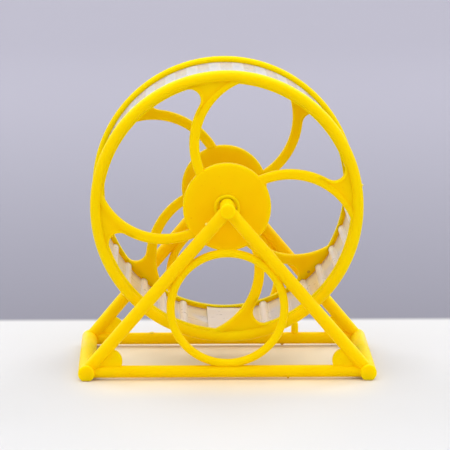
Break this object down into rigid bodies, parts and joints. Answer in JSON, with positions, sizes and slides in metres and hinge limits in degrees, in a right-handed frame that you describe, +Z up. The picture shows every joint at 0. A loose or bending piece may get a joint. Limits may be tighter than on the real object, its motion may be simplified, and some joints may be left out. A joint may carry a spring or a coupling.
{
  "type": "hamster wheel",
  "caption": "Exercise wheel for a small pet: a ribbed running track between spoked side plates, turning on stub pins of an open tubular stand.",
  "frame": {"origin": "on the floor under the middle of the stand", "axes": "+Z up, wheel axis along Y with the front towards -Y, cross tubes along Y, base bars along X"},
  "size_m": [0.1528, 0.1216, 0.1577],
  "materials": {
    "yellow_plastic": "bright yellow injection-moulded plastic with a soft gloss",
    "track_plastic": "thin clear to milky plastic strip with thicker white ribs, slightly see-through"
  },
  "bodies": {
    "stand": {"front_stand_half": "yellow_plastic", "rear_stand_half": "yellow_plastic"},
    "wheel": {"front_wheel_plate": "yellow_plastic", "rear_wheel_plate": "yellow_plastic", "running_track": "track_plastic"}
  },
  "joints": [
    {"name": "wheel_spin", "type": "hinge", "parent": "stand", "child": "wheel", "pos_m": [0, 0, 0.0877], "axis": [0, 1, 0], "continuous": true}
  ]
}
